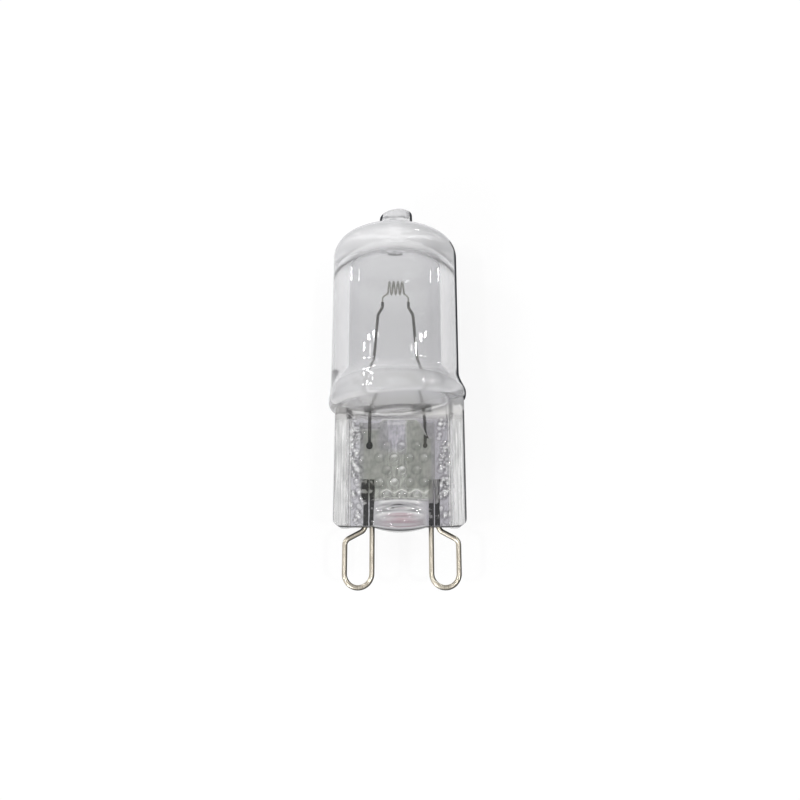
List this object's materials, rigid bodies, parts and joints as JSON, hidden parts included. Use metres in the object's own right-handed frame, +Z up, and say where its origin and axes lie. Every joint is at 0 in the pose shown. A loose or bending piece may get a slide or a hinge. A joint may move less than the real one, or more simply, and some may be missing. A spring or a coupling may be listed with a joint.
{
  "type": "halogen capsule bulb",
  "caption": "Clear glass halogen capsule bulb with a round tube, sealed tip, flat embossed pinch, wire loop pins, sealing foils, lead wires and a coiled filament",
  "frame": {"origin": "centre of the bounding box at ground level", "axes": "+Y from the pins to the sealed tip, +X across the two pins, +Z up; the bulb lies on its side with the pinch level"},
  "size_m": [0.015, 0.0426, 0.0142],
  "materials": {
    "clear_glass": "clear fused silica",
    "pin_wire": "bright drawn wire",
    "foil": "thin rolled molybdenum foil",
    "lead_wire": "grey molybdenum wire",
    "filament_wire": "grey tungsten wire"
  },
  "bodies": {
    "root": {"envelope": "clear_glass", "pin_left": "pin_wire", "pin_right": "pin_wire", "foil_left": "foil", "foil_right": "foil", "lead_left": "lead_wire", "lead_right": "lead_wire", "filament": "filament_wire"}
  },
  "joints": []
}
